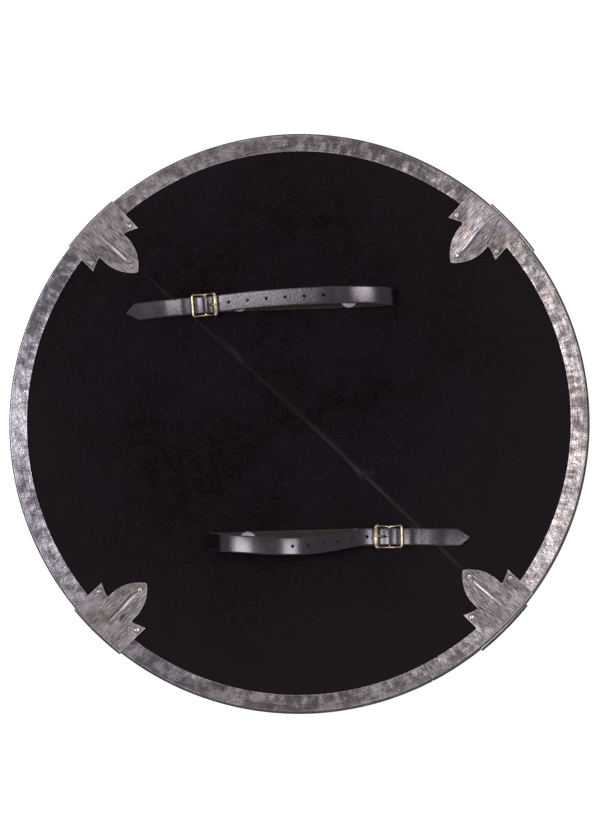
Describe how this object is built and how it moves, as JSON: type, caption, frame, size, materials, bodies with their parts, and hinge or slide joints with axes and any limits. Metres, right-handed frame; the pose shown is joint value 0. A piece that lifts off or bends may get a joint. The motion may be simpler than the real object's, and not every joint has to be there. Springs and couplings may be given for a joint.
{
  "type": "round shield",
  "caption": "Dished round wooden shield with a hammered steel rim, leaf-shaped steel clips, a suede-lined back and two buckled leather arm straps.",
  "frame": {"origin": "centre of the small flat on the middle of the front, which the shield lies on", "axes": "+Z out of the back of the shield, +Y towards its top edge, +X to the right seen from the back"},
  "size_m": [0.6398, 0.6398, 0.085],
  "materials": {
    "wood": "oiled planks",
    "suede": "black suede nap",
    "rim_steel": "hammered, browned in patches",
    "clip_steel": "brushed, dark patina",
    "strap_leather": "black, semi-gloss, brown cut edges",
    "buckle_brass": "pale antique brass",
    "rivet_metal": "bright nickel"
  },
  "bodies": {
    "root": {"arm_buckle_frame": "buckle_brass", "arm_buckle_prong": "buckle_brass", "arm_buckle_roller": "buckle_brass", "arm_strap": "strap_leather", "arm_strap_rivet_far": "rivet_metal", "arm_strap_rivet_near": "rivet_metal", "back_lining": "suede", "board": "wood", "clip_back_lower_left": "clip_steel", "clip_back_lower_right": "clip_steel", "clip_back_upper_left": "clip_steel", "clip_back_upper_right": "clip_steel", "clip_front_lower_left": "clip_steel", "clip_front_lower_right": "clip_steel", "clip_front_upper_left": "clip_steel", "clip_front_upper_right": "clip_steel", "hand_buckle_frame": "buckle_brass", "hand_buckle_prong": "buckle_brass", "hand_buckle_roller": "buckle_brass", "hand_strap": "strap_leather", "hand_strap_rivet_far": "rivet_metal", "hand_strap_rivet_near": "rivet_metal", "pin_back_lower_left_ear_a": "clip_steel", "pin_back_lower_left_ear_b": "clip_steel", "pin_back_lower_left_tip": "clip_steel", "pin_back_lower_right_ear_a": "clip_steel", "pin_back_lower_right_ear_b": "clip_steel", "pin_back_lower_right_tip": "clip_steel", "pin_back_upper_left_ear_a": "clip_steel", "pin_back_upper_left_ear_b": "clip_steel", "pin_back_upper_left_tip": "clip_steel", "pin_back_upper_right_ear_a": "clip_steel", "pin_back_upper_right_ear_b": "clip_steel", "pin_back_upper_right_tip": "clip_steel", "pin_front_lower_left_ear_a": "clip_steel", "pin_front_lower_left_ear_b": "clip_steel", "pin_front_lower_left_tip": "clip_steel", "pin_front_lower_right_ear_a": "clip_steel", "pin_front_lower_right_ear_b": "clip_steel", "pin_front_lower_right_tip": "clip_steel", "pin_front_upper_left_ear_a": "clip_steel", "pin_front_upper_left_ear_b": "clip_steel", "pin_front_upper_left_tip": "clip_steel", "pin_front_upper_right_ear_a": "clip_steel", "pin_front_upper_right_ear_b": "clip_steel", "pin_front_upper_right_tip": "clip_steel", "rim": "rim_steel"}
  },
  "joints": []
}
